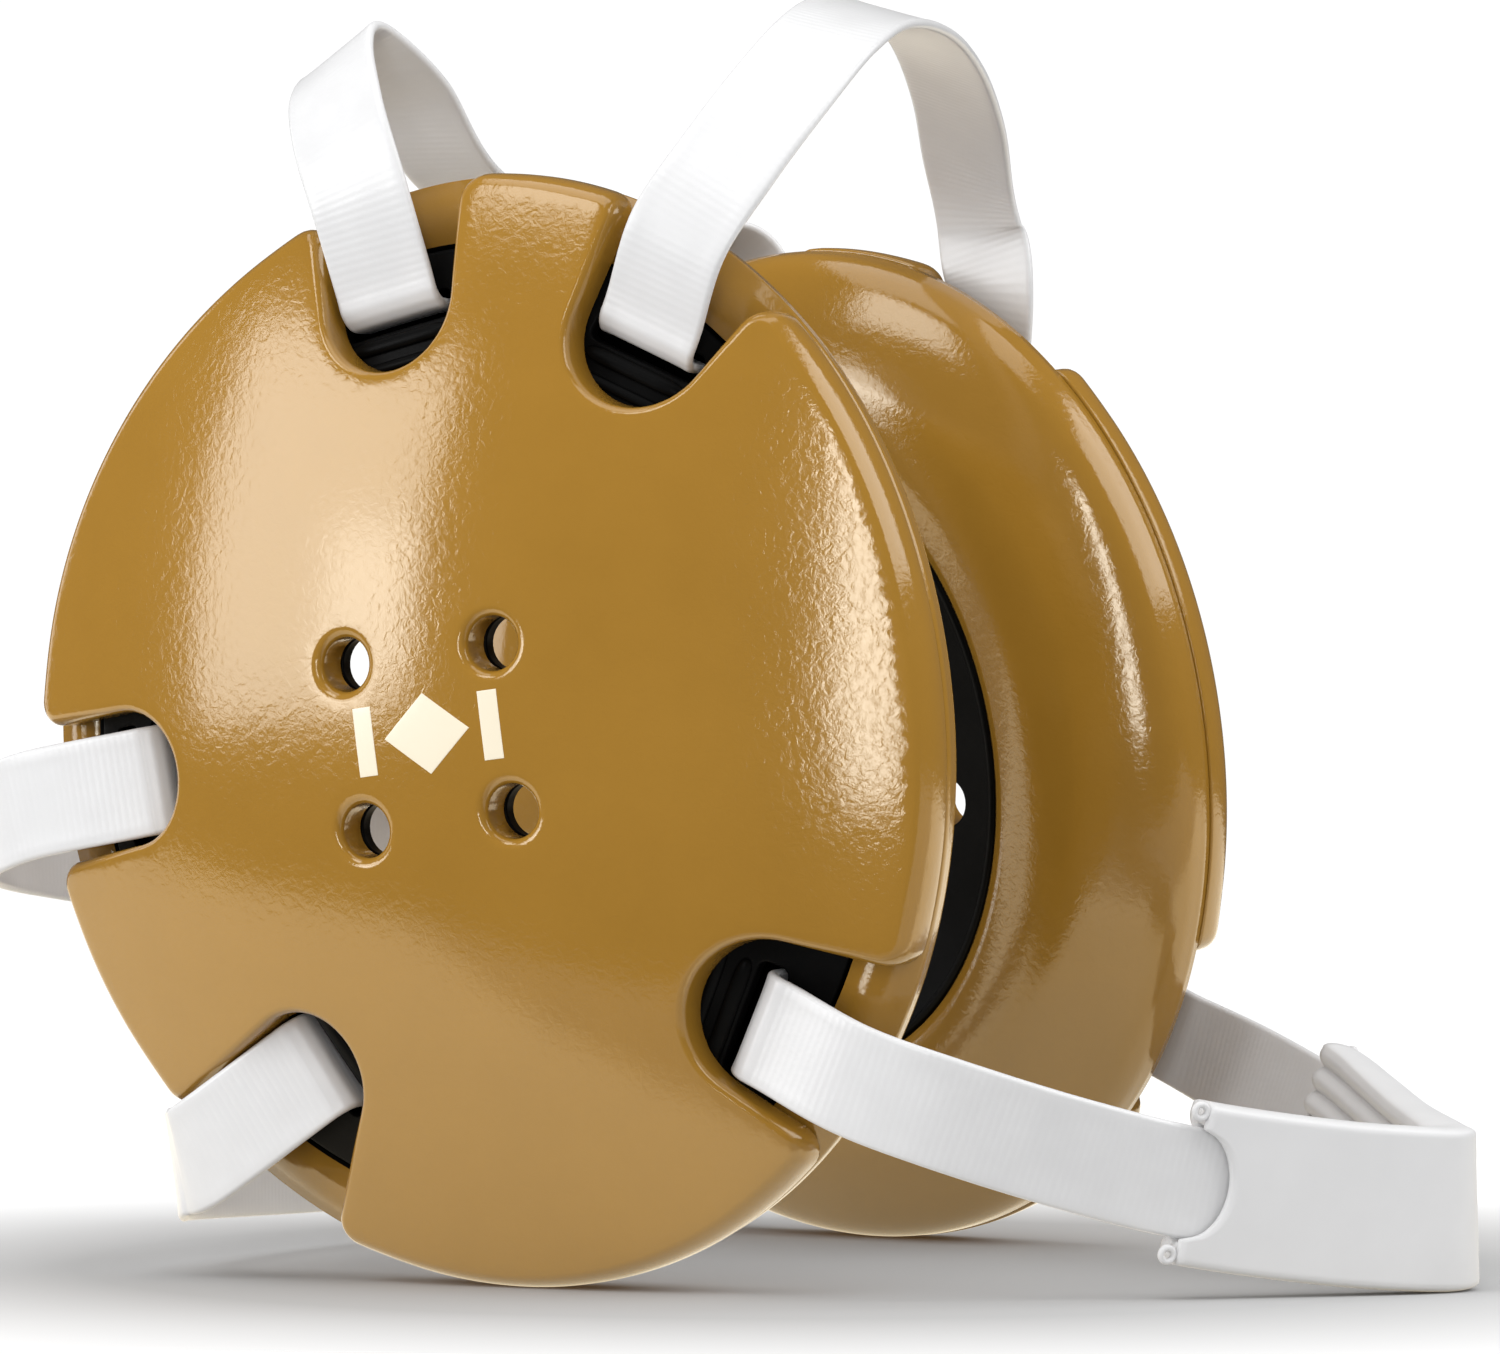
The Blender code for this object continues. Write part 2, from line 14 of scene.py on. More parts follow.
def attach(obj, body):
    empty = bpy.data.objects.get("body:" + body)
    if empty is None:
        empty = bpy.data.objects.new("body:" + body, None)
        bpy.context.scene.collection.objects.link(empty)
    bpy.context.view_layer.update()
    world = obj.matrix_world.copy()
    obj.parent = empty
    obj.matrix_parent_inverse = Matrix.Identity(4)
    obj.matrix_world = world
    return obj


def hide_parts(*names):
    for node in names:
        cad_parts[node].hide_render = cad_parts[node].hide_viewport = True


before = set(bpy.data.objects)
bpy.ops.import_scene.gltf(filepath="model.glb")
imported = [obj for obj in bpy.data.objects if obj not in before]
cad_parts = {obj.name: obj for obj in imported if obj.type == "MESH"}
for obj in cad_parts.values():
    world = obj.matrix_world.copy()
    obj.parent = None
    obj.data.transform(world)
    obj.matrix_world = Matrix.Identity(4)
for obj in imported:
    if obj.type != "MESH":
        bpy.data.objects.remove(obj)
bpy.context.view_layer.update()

# Ear cups. Each guard has a cup of black moulded plastic under its foam pad. The
# flange carries the strap slots, the bars beside them and the vents, and the collar
# on the head side rings the ear.

RIM_HALF_HEIGHT, RIM_HALF_WIDTH, EGG = 75.0, 67.8, -0.017
EDGE_HEIGHT, CROWN_HEIGHT = 5.0, 14.5
PAD_THICKNESS, CUP_THICKNESS, GAP = 6.0, 2.2, 0.3
CUP_REACH = 0.872
COLLAR_HALF_WIDTH, COLLAR_HALF_HEIGHT = 36.0, 46.5
COLLAR_WALL, COLLAR_END, COLLAR_LIP = 1.6, -11.5, 0.7
VENT_SPACING, VENT_RADIUS = 22.3, 3.65
SLOT_LENGTH, SLOT_WIDTH, SLOT_CORNER, BAR_WIDTH = 16.6, 4.0, 1.1, 2.8
ROLL = 6.75

# How far the collar's section is inside its outline and how high it is, from the flange
# (no height) round its lip on the head side and back to the flange
COLLAR_SECTION = [(0.0, None), (0.0, -6.0), (0.0, COLLAR_END + COLLAR_LIP),
                  (0.25, COLLAR_END + 0.15), (COLLAR_WALL / 2.0, COLLAR_END),
                  (COLLAR_WALL - 0.25, COLLAR_END + 0.15), (COLLAR_WALL, COLLAR_END + COLLAR_LIP),
                  (COLLAR_WALL, -6.0), (COLLAR_WALL, None)]

# Raised bars on the inner side of each slot: how far in from it, how wide and how high
RIDGES, RIDGE_LENGTH = ((3.5, 2.2, 0.9), (6.6, 1.5, 0.7)), 15.4

# Inset and drop of each of the flange's upper edges, the radius of its lower one, and how
# far apart the points of its faces are
FLANGE_EDGE, FLANGE_SLOT_EDGE = (0.5, 0.5, 0.3), (0.35, 0.35, 0.2)
FLANGE_VENT_EDGE, FLANGE_NET = (0.3, 0.3, 0.3), 2.4

# Each guard's middle in the frame, its yaw and lean in degrees, and whether it faces the
# wearer's right (1) or left (-1)
GUARDS = {
    "right": dict(centre=(-16.02, -58.41, 74.56), yaw=0.0, lean=2.6, side=1),
    "left": dict(centre=(-17.72, 54.89, 74.12), yaw=-10.1, lean=7.3, side=-1),
}

# Each notch: middle of its round end (front, up), radius, direction to the rim, flare
# of each wall, mouth rounding, the strap's slot (front, up), and the strap's direction
# and its height at the rim, each on the right guard and on the left one
NOTCHES = {
    "crown_rear": dict(end=(-2.7, 59.3), radius=9.8, axis=93, flare=5, mouth=3.5,
                       slot=(-4.2, 57.5), heading=(96, 101), exit=(8.2, 8.2)),
    "crown_front": dict(end=(34.0, 49.3), radius=9.9, axis=56, flare=9, mouth=3.5,
                        slot=(32.4, 47.7), heading=(58, 69), exit=(8.2, 4.6)),
    "back_upper": dict(end=(-51.0, 0.3), radius=9.2, axis=183, flare=1, mouth=3.5,
                       slot=(-47.5, -0.2), heading=(183, 183), exit=(8.2, 8.2)),
    "back_lower": dict(end=(-29.0, -43.5), radius=9.4, axis=223, flare=15, mouth=3.5,
                       slot=(-27.8, -41.2), heading=(207, 222), exit=(8.6, 8.2)),
    "chin": dict(end=(40.2, -42.6), radius=10.8, axis=327, flare=10, mouth=3.5,
                 slot=(36.0, -42.6), heading=(329, 325), exit=(8.2, 8.2)),
}


def rim_oval(t):
    """The rim's plan: an ellipse whose radius swells and shrinks three times round."""
    radius = RIM_HALF_HEIGHT * (1.0 + EGG * np.cos(3.0 * t))
    return radius * RIM_HALF_WIDTH / RIM_HALF_HEIGHT * np.cos(t), radius * np.sin(t)


def dome(u, v):
    """Height of the pad's face: it falls from the middle as the square of the way to the rim."""
    wide = u * RIM_HALF_HEIGHT / RIM_HALF_WIDTH
    t = np.arctan2(v, wide)
    reach = np.hypot(wide, v) / (RIM_HALF_HEIGHT * (1.0 + EGG * np.cos(3.0 * t)))
    return EDGE_HEIGHT + CROWN_HEIGHT * (1.0 - reach ** 2)


def cup_top(u, v):
    """Height of the flange's face, under the foam pad."""
    return dome(u, v) - PAD_THICKNESS - GAP


def guard_axes(guard):
    """Columns of the guard's own axes: front, inward or outward, up, after yaw, lean and roll."""
    yaw, lean, roll = np.radians([GUARDS[guard]["yaw"], GUARDS[guard]["lean"], ROLL])
    away = np.array([np.sin(yaw) * np.cos(lean), -np.cos(yaw) * np.cos(lean), -np.sin(lean)])
    level = np.array([np.cos(yaw), np.sin(yaw), 0.0])
    rise = np.cross(away, level)
    front = np.cos(roll) * level + np.sin(roll) * rise
    up = np.cos(roll) * rise - np.sin(roll) * level
    return np.stack([front, -away, up], axis=1)


def on_guard(guard, u, v, w):
    """Carries front, up and outward from the guard's own axes to the frame's."""
    local = np.stack(np.broadcast_arrays(u, -GUARDS[guard]["side"] * np.asarray(w), v), axis=-1)
    return local @ guard_axes(guard).T + np.array(GUARDS[guard]["centre"])


def full_turn(count):
    """Even angles round a circle, without the last one, which is the first again."""
    return np.linspace(0.0, 2.0 * np.pi, count, endpoint=False)


def circle(t):
    """Points of a circle of radius 1 at these angles."""
    return np.stack([np.cos(t), np.sin(t)], axis=-1)


def directions(angle):
    """The direction at an angle in the guard's plane, and the one across it."""
    along = circle(angle)
    return along, np.array([-along[1], along[0]])


def strap_heading(notch, side):
    """The strap's direction in the guard's plane, and the one across it."""
    return directions(np.radians(NOTCHES[notch]["heading"][0 if side > 0 else 1]))


def running_length(line):
    """How far along a line each of its points lies."""
    return np.concatenate([[0.0], np.cumsum(np.linalg.norm(np.diff(line, axis=0), axis=1))])


def evenly(line, step):
    """A closed line, redrawn with even steps: positions are read off its running length."""
    closed = np.vstack([line, line[:1]])
    run = running_length(closed[:, :2])
    at = np.linspace(0.0, run[-1], int(round(run[-1] / step)), endpoint=False)
    return np.stack([np.interp(at, run, column) for column in closed.T], axis=1)


def left_of(line):
    """Unit normals to the left of a closed line's travel, from the step before to the step after."""
    step = np.roll(line, -1, axis=0) - np.roll(line, 1, axis=0)
    step /= np.linalg.norm(step, axis=1)[:, None]
    return np.stack([-step[:, 1], step[:, 0]], axis=1)


def encloses(loop, points):
    """Whether each point is inside a loop: a ray to the right crosses it an odd number of times."""
    inside = np.zeros(len(points), bool)
    for part, after in zip(np.array_split(loop, 12), np.array_split(np.roll(loop, -1, axis=0), 12)):
        x, y = points[:, :1], points[:, 1:]
        high = (part[:, 1] > y) != (after[:, 1] > y)
        rise = np.where(after[:, 1] == part[:, 1], 1.0, after[:, 1] - part[:, 1])
        cross = part[:, 0] + (y - part[:, 1]) / rise * (after[:, 0] - part[:, 0])
        inside ^= (high & (x < cross)).sum(axis=1) % 2 == 1
    return inside


def net(loops, spacing):
    """Triangles between loops: a net of points inside, joined by Delaunay's rule. Its rows are
    0.866 of the spacing apart, as in a net of even triangles, and it keeps 0.6 of the spacing
    away from the loops."""
    row, room = 0.866 * spacing, 0.6 * spacing
    low, high = loops[0].min(axis=0), loops[0].max(axis=0)
    x = np.arange(low[0], high[0], spacing)
    y = np.arange(low[1], high[1], row)
    grid_x, grid_y = np.meshgrid(x, y)
    grid_x = grid_x + (np.arange(len(y)) % 2)[:, None] * spacing / 2.0
    points = np.stack([grid_x.ravel(), grid_y.ravel()], axis=1)
    points = points[encloses(loops[0], points)]
    for hole in loops[1:]:
        points = points[~encloses(hole, points)]
    for part in np.array_split(np.vstack(loops), 40):
        far = np.linalg.norm(points[:, None] - part[None], axis=2).min(axis=1) > room
        points = points[far]
    start, edges = 0, []
    for loop in loops:
        count = len(loop)
        edges += [(start + i, start + (i + 1) % count) for i in range(count)]
        start += count
    everything = [Vector(p) for p in np.vstack(loops + [points])]
    found = delaunay_2d_cdt(everything, edges, [], 0, 1e-6)
    flat = np.array([tuple(p) for p in found[0]])
    faces = np.array([f for f in found[2] if len(f) == 3])
    middle = flat[faces].mean(axis=1)
    keep = encloses(loops[0], middle)
    for hole in loops[1:]:
        keep &= ~encloses(hole, middle)
    return flat, faces[keep]


def plate(borders, height, thickness, spacing, under_spacing):
    """A curved plate. Each border is a loop with the insets and drops that round its upper
    edge and the radius of its lower one. The edges are quarters of ellipses, whose inset
    shrinks as the sine of a turn while the drop grows as one less its cosine. Travel round
    a loop keeps the material on its left."""
    points, faces, tops, bottoms, start = [], [], [], [], 0
    for line, inset, fall, lower in borders:
        inward = left_of(line)
        turn = np.linspace(0.0, np.pi / 2.0, 8)[:, None]
        under, inset, fall = (value * np.ones(len(line)) for value in (lower, inset, fall))
        offsets = np.vstack([inset * (1.0 - np.sin(turn)), under * (1.0 - np.sin(turn[::-2]))])
        drops = np.vstack([fall * (1.0 - np.cos(turn)),
                           thickness - under * (1.0 - np.cos(turn[::-2]))])
        plan = line + offsets[:, :, None] * inward
        tops.append(plan[0])
        bottoms.append(plan[-1])
        rows, count = offsets.shape
        points.append(np.column_stack([plan.reshape(-1, 2), drops.ravel()]))
        index = start + np.arange(rows * count).reshape(rows, count)
        after = np.roll(index, -1, axis=1)
        faces += np.stack([index[:-1], after[:-1], after[1:], index[1:]],
                          axis=-1).reshape(-1, 4).tolist()
        start += rows * count
    for loops, drop, step in ((tops, 0.0, spacing), (bottoms, thickness, under_spacing)):
        flat, triangles = net(loops, step)
        points.append(np.column_stack([flat, np.full(len(flat), drop)]))
        faces += (triangles + start).tolist()
        start += len(flat)
    u, v, drop = np.vstack(points).T
    return u, v, height(u, v) - drop, faces


def add_object(name, data):
    """Puts a mesh, light or camera into the scene."""
    thing = bpy.data.objects.new(name, data)
    bpy.context.scene.collection.objects.link(thing)
    return thing


def make_piece(name, shells, material, run=None):
    """Puts shells of points (in millimetres) and faces into one mesh with outward normals.
    What would reach under the floor is pressed flat on it. A run is how far along the piece
    each point lies."""
    points = np.vstack([shell[0] for shell in shells]) * 0.001
    faces, start = [], 0
    for shell in shells:
        faces += [tuple(start + corner for corner in face) for face in shell[1]]
        start += len(shell[0])
    points[:, 2] = np.maximum(points[:, 2], 0.0)
    mesh = bpy.data.meshes.new(name)
    mesh.from_pydata(points.tolist(), [], faces)
    if run is not None:
        layer = mesh.attributes.new("run", "FLOAT", "POINT")
        layer.data.foreach_set("value", np.asarray(run, np.float32))
    work = bmesh.new()
    work.from_mesh(mesh)
    bmesh.ops.remove_doubles(work, verts=work.verts, dist=1e-7)
    bmesh.ops.recalc_face_normals(work, faces=work.faces)
    work.to_mesh(mesh)
    work.free()
    mesh.shade_smooth()
    mesh.materials.append(material)
    return add_object(name, mesh)


def wrap(rows):
    """Quads round a closed band of rows (rows, points round, 3), joined last to first."""
    count_rows, count = rows.shape[:2]
    index = np.arange(count_rows * count).reshape(count_rows, count)
    after = np.roll(index, -1, axis=1)
    below = np.roll(index, -1, axis=0)
    faces = np.stack([index, after, np.roll(after, -1, axis=0), below], axis=-1)
    return rows.reshape(-1, 3), faces.reshape(-1, 4).tolist()


def tube(rows):
    """Quads round rows of points (rows, points round, 3) whose two ends are closed flat."""
    shell, faces = wrap(rows)
    count = rows.shape[1]
    return shell, faces[:-count] + [tuple(range(count)),
                                    tuple(range(len(shell) - count, len(shell)))]


def slot_loop(middle, along, across, length, width, corner):
    """A rounded rectangle: four quarter circles joined by straight sides."""
    turn = np.linspace(0.0, np.pi / 2.0, 5)
    half_x, half_y = width / 2.0 - corner, length / 2.0 - corner
    line = []
    for quarter, (x, y) in enumerate([(half_x, half_y), (-half_x, half_y),
                                      (-half_x, -half_y), (half_x, -half_y)]):
        angle = turn + quarter * np.pi / 2.0
        line.append(np.array([x, y]) + corner * circle(angle))
    line = evenly(np.vstack(line), 0.6)
    return middle + line[:, :1] * along + line[:, 1:] * across


def ridge(guard, middle, along, across, width, height):
    """A raised bar on the flange: an oval bar whose ends close as an eighth-power curve."""
    s = np.sin(np.linspace(-np.pi / 2.0, np.pi / 2.0, 25))[:, None]
    a = full_turn(20)[None]
    swell = np.sqrt(np.maximum(1.0 - s ** 8, 0.0)) + 0.001
    x, y = width / 2.0 * np.cos(a) * swell, RIDGE_LENGTH / 2.0 * s + 0.0 * a
    u = middle[0] + x * along[0] + y * across[0]
    v = middle[1] + x * along[1] + y * across[1]
    return tube(on_guard(guard, u, v, cup_top(u, v) + height * np.sin(a) * swell))


def vent_loops(radius, step):
    """The four vents, as circles round the corners of a square; travel is clockwise."""
    half = VENT_SPACING / 2.0
    t = -full_turn(int(2.0 * np.pi * radius / step))
    return [np.array([x, y]) + radius * circle(t) for x in (-half, half) for y in (-half, half)]


def new_material(name, roughness, gloss=0.5):
    """A material with a plain surface shader, its node tree and that shader. A gloss of 0.5
    mirrors 4 parts in 100 of the light that falls straight on it."""
    material = bpy.data.materials.new(name)
    material.use_nodes = True
    tree = material.node_tree
    shader = tree.nodes["Principled BSDF"]
    shader.inputs["Roughness"].default_value = roughness
    shader.inputs["Specular IOR Level"].default_value = gloss
    return material, tree, shader


def add_node(tree, kind, links=None, **values):
    """A node. Links give its inputs by name or number, each a value or the socket that feeds
    it, and values set its own properties."""
    node = tree.nodes.new(kind)
    for key, value in values.items():
        setattr(node, key, value)
    for name, source in (links or {}).items():
        if isinstance(source, bpy.types.NodeSocket):
            tree.links.new(source, node.inputs[name])
        else:
            node.inputs[name].default_value = source
    return node


def ramp_node(tree, source, stops):
    """A colour ramp with stops of (place, colour)."""
    node = add_node(tree, "ShaderNodeValToRGB", {"Fac": source})
    stops_in = node.color_ramp.elements
    while len(stops_in) < len(stops):
        stops_in.new(0.5)
    for element, (place, colour) in zip(stops_in, stops):
        element.position = place
        element.color = (*colour, 1.0)
    return node


def noise(tree, scale, detail, **inputs):
    """Noise on the piece's own coordinates; the scale is in waves per metre."""
    place = add_node(tree, "ShaderNodeTexCoord")
    node = add_node(tree, "ShaderNodeTexNoise", {"Vector": place.outputs["Object"], "Scale": scale,
                                                 "Detail": detail, **inputs})
    return node.outputs["Fac"]


def bump(tree, height, strength, distance, **inputs):
    """A bumped normal: the height, from 0 to 1, spans so many metres."""
    node = add_node(tree, "ShaderNodeBump", {"Height": height, "Strength": strength,
                                             "Distance": distance, **inputs})
    return node.outputs["Normal"]


def calculate(tree, operation, *values):
    """The result of an operation on one, two or three values."""
    node = add_node(tree, "ShaderNodeMath", dict(enumerate(values)), operation=operation)
    return node.outputs["Value"]


# Black satin plastic: a fine moulded grain and faint cloudiness
black_plastic, tree, shader = new_material("black_plastic", roughness=0.4, gloss=0.06)
cloud = noise(tree, scale=120.0, detail=4.0)
tone = ramp_node(tree, cloud, [(0.35, (0.0015, 0.0015, 0.0015)), (0.75, (0.004, 0.004, 0.004))])
tree.links.new(tone.outputs["Color"], shader.inputs["Base Color"])
grain = noise(tree, scale=2600.0, detail=3.0, Roughness=0.7)
tree.links.new(bump(tree, grain, strength=0.35, distance=0.00006), shader.inputs["Normal"])

flange_line = evenly(np.stack(rim_oval(full_turn(720)), axis=1) * CUP_REACH, 1.2)
# A second slot that would reach outside this share of the flange isn't cut
FLANGE_MARGIN = 0.975
for guard, sizes in GUARDS.items():
    side = sizes["side"]
    borders = [(flange_line, *FLANGE_EDGE)]
    shells = []
    for notch, shape in NOTCHES.items():
        along, across = strap_heading(notch, side)
        slot = np.array(shape["slot"])
        for number in range(2):
            middle = slot + along * number * (SLOT_WIDTH + BAR_WIDTH)
            line = slot_loop(middle, along, across, SLOT_LENGTH, SLOT_WIDTH, SLOT_CORNER)[::-1]
            if not encloses(flange_line * FLANGE_MARGIN, line).all():
                continue
            borders.append((line, *FLANGE_SLOT_EDGE))
        for inwards, wide, high in RIDGES:
            shells.append(ridge(guard, slot - along * inwards, along, across, wide, high))
    for line in vent_loops(VENT_RADIUS, 0.7):
        borders.append((line, *FLANGE_VENT_EDGE))
    u, v, w, faces = plate(borders, cup_top, CUP_THICKNESS, FLANGE_NET, FLANGE_NET)
    shells.append((on_guard(guard, u, v, w), faces))
    t = full_turn(240)
    rows = []
    for inset, level in COLLAR_SECTION:
        u = (COLLAR_HALF_WIDTH - inset) * np.cos(t)
        v = (COLLAR_HALF_HEIGHT - inset) * np.sin(t)
        w = cup_top(u, v) - CUP_THICKNESS / 2.0 if level is None else np.full_like(u, level)
        rows.append(on_guard(guard, u, v, w))
    shells.append(wrap(np.stack(rows)))
    cup = make_piece(f"black_cup_{guard}", shells, black_plastic)
    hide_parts(f"ear_cup_{guard}")
    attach(cup, "root")

# Outer pads. Each is a domed slab of foam with a glossy gold skin, dipped so that every
# edge is rounded: the rim, the five notches that let the straps through and the vents.

# How far each edge is rounded inwards and how far down the rounding reaches
RIM_EDGE, CORNER_EDGE, NOTCH_EDGE, VENT_EDGE = (2.0, 4.2), (1.6, 2.6), (1.0, 1.4), (1.5, 1.4)
UNDER_EDGE = 0.5
PAD_NET, PAD_UNDER_NET = 1.3, 5.0
# The bell curve that blends the edges, in points of the outline: its reach and its width
BLEND_REACH, BLEND_WIDTH = 12, 4.0


def mouth_corner(shape, sign):
    """The rounded corner between a notch wall and the rim: the circle that touches both.
    Gives the rim angle where it starts, its points from the rim to the wall, and the
    wall's first point at the round end. The circle is found by halving between the notch's
    own direction and 0.8 radians beside it."""
    angle, tilt = np.radians([shape["axis"], shape["flare"]])
    along, across = directions(angle)
    end, radius, mouth = np.array(shape["end"]), shape["radius"], shape["mouth"]
    off_wall = -np.sin(tilt) * along + sign * np.cos(tilt) * across
    wall_start = end + radius * off_wall

    def at_rim(t):
        ahead, behind = np.array(rim_oval(t + 1e-4)), np.array(rim_oval(t - 1e-4))
        step = (ahead - behind) / np.linalg.norm(ahead - behind)
        touch = np.array(rim_oval(t))
        return touch, touch + mouth * np.array([-step[1], step[0]])

    aim = end + along * 30.0
    low = np.arctan2(aim[1], aim[0] * RIM_HALF_HEIGHT / RIM_HALF_WIDTH)
    high = low + sign * 0.8
    for _ in range(50):
        middle = (low + high) / 2.0
        if (at_rim(middle)[1] - wall_start) @ off_wall < mouth:
            low = middle
        else:
            high = middle
    touch, centre = at_rim(low)
    first = np.arctan2(*(touch - centre)[::-1])
    last = np.arctan2(*(-off_wall)[::-1])
    swing = (last - first + np.pi) % (2.0 * np.pi) - np.pi
    turn = first + np.linspace(0.0, swing, 14)
    return low, centre + mouth * circle(turn), wall_start


def pad_outline():
    """The rim with its notches, anticlockwise, every 0.8 mm: plan position, then the edge's
    inset and drop, which are blended along the line by a bell curve."""
    cuts = []
    for shape in NOTCHES.values():
        before, after = mouth_corner(shape, -1), mouth_corner(shape, 1)
        angle, tilt = np.radians([shape["axis"], shape["flare"]])
        turn = angle + np.linspace(1.5 * np.pi - tilt, 0.5 * np.pi + tilt, 26)
        bow = np.array(shape["end"]) + shape["radius"] * circle(turn)
        cuts.append((before[0] % (2.0 * np.pi), after[0] % (2.0 * np.pi), before[1], bow,
                     after[1][::-1]))
    cuts.sort(key=lambda item: item[0])
    line = []
    for cut, following in zip(cuts, cuts[1:] + cuts[:1]):
        for points, edge in ((cut[2], CORNER_EDGE), (cut[3], NOTCH_EDGE), (cut[4], CORNER_EDGE)):
            line.append(np.column_stack([points, np.tile(edge, (len(points), 1))]))
        stretch = (following[0] - cut[1]) % (2.0 * np.pi)
        t = cut[1] + np.linspace(0.0, stretch, 200)[1:-1]
        line.append(np.column_stack([np.stack(rim_oval(t), axis=1), np.tile(RIM_EDGE, (len(t), 1))]))
    line = evenly(np.vstack(line), 0.8)
    weight = np.exp(-0.5 * (np.arange(-BLEND_REACH, BLEND_REACH + 1) / BLEND_WIDTH) ** 2)
    edges = [np.convolve(np.concatenate([column[-BLEND_REACH:], column, column[:BLEND_REACH]]),
                         weight / weight.sum(), mode="valid") for column in line[:, 2:].T]
    return line[:, :2], *edges


# Gold skin: a dipped vinyl with a leathery grain of fine creases, a slightly mottled
# ochre and a clear gloss
gold_skin, tree, shader = new_material("gold_skin", roughness=0.1, gloss=0.9)
shader.inputs["Specular Tint"].default_value = (1.0, 0.94, 0.8, 1.0)
mottle = noise(tree, scale=45.0, detail=5.0, Roughness=0.6)
tone = ramp_node(tree, mottle, [(0.3, (0.3, 0.152, 0.019)), (0.7, (0.325, 0.166, 0.022))])
tree.links.new(tone.outputs["Color"], shader.inputs["Base Color"])
swells = bump(tree, noise(tree, scale=110.0, detail=2.0), strength=0.07, distance=0.0005)
creases = bump(tree, noise(tree, scale=900.0, detail=4.0, Roughness=0.55, Distortion=0.8),
               strength=0.34, distance=0.0001, Normal=swells)
tree.links.new(creases, shader.inputs["Normal"])

borders = [(*pad_outline(), UNDER_EDGE)]
for line in vent_loops(VENT_RADIUS, 0.6):
    borders.append((line, *VENT_EDGE, UNDER_EDGE))
pad_u, pad_v, pad_w, pad_faces = plate(borders, dome, PAD_THICKNESS, PAD_NET, PAD_UNDER_NET)
for guard in GUARDS:
    shell = (on_guard(guard, pad_u, pad_v, pad_w), pad_faces)
    pad = make_piece(f"gold_pad_{guard}", [shell], gold_skin)
    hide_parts(f"outer_pad_{guard}")
    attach(pad, "root")

# Printed mark. A plain lozenge between two bars, cream and paper thin, lies on the right
# pad between its vents.

MARK_LINES = [[(-6.4, 0.0), (0.0, -5.4), (6.4, 0.0), (0.0, 5.4)],
              [(-10.9, -4.6), (-8.1, -4.6), (-8.1, 4.6), (-10.9, 4.6)],
              [(8.1, -4.6), (10.9, -4.6), (10.9, 4.6), (8.1, 4.6)]]
MARK_MIDDLE, MARK_RISE, MARK_DEPTH = np.array([0.6, 0.5]), 0.06, 0.3
MARK_EDGE, MARK_NET = (0.15, 0.06, 0.05), 1.0
cream_print, tree, shader = new_material("cream_print", roughness=0.25)
shader.inputs["Base Color"].default_value = (0.8, 0.72, 0.56, 1.0)
mark_shells = []
for corners in MARK_LINES:
    line = evenly(np.array(corners), 0.4) + MARK_MIDDLE
    u, v, w, faces = plate([(line, *MARK_EDGE)], lambda x, y: dome(x, y) + MARK_RISE,
                           MARK_DEPTH, MARK_NET, 2.0 * MARK_NET)
    mark_shells.append((on_guard("right", u, v, w), faces))
mark = make_piece("printed_mark", mark_shells, cream_print)
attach(mark, "root")

# Ear cushions. A thick ring of soft foam in the same gold skin is glued to each cup. It
# rises beside the ear to a round crest and falls from there to the rim.

RING_REACH = 0.996
# The recess that the flange lies in, as shares of the way to the rim: the top and foot of
# its outer wall, and those of the step inside it, with that step's height
RECESS_WALL, RECESS_STEP = (CUP_REACH + 0.008, CUP_REACH + 0.006), (0.845, 0.835)
STEP_HEIGHT, COLLAR_ROOM = 3.6, 0.1
# The face on the head side: share of the way from the collar to the rim, and height
CUSHION_FACE = [(0.0, COLLAR_END - 0.4), (0.03, -12.9), (0.1, -14.2), (0.25, -15.0),
                (0.45, -14.7), (0.62, -13.1), (0.8, -10.6), (0.92, -8.2), (0.98, -5.6), (1.0, -2.6)]


def through_rows(points, steps):
    """A Catmull-Rom curve: each stretch is a cubic set by the two points at each side of it."""
    ends = np.concatenate([2.0 * points[:1] - points[1:2], points, 2.0 * points[-1:] - points[-2:-1]])
    share = np.arange(steps) / steps
    share = share.reshape(-1, *([1] * (points.ndim - 1)))
    runs = []
    for a, b, c, d in zip(ends, ends[1:], ends[2:], ends[3:]):
        runs.append(0.5 * (2.0 * b + (c - a) * share + (2.0 * a - 5.0 * b + 4.0 * c - d) * share ** 2
                           + (3.0 * b - a - 3.0 * c + d) * share ** 3))
    return np.concatenate(runs + [points[-1:]])


def cushion_rows(guard):
    """The ring's section, carried round the ear: shares of the way from collar to rim."""
    t = full_turn(420)
    rim = np.array(rim_oval(t))
    inner = np.array([(COLLAR_HALF_WIDTH + GAP + COLLAR_ROOM) * np.cos(t),
                      (COLLAR_HALF_HEIGHT + GAP + COLLAR_ROOM) * np.sin(t)])
    outer = rim * RING_REACH
    seat = PAD_THICKNESS + GAP
    shelf = seat + CUP_THICKNESS + GAP
    rows = []
    for reach, drop in ((RING_REACH, seat), (RECESS_WALL[0], seat), (RECESS_WALL[1], shelf),
                        (RECESS_STEP[0], shelf), (RECESS_STEP[1], shelf + STEP_HEIGHT)):
        u, v = reach * rim
        rows.append(on_guard(guard, u, v, dome(u, v) - drop))
    rows.append(on_guard(guard, *inner, dome(*inner) - shelf - STEP_HEIGHT))
    for share, height in through_rows(np.array(CUSHION_FACE), 8):
        u, v = inner + share * (outer - inner)
        rows.append(on_guard(guard, u, v, np.full_like(u, height)))
    return np.stack(rows)


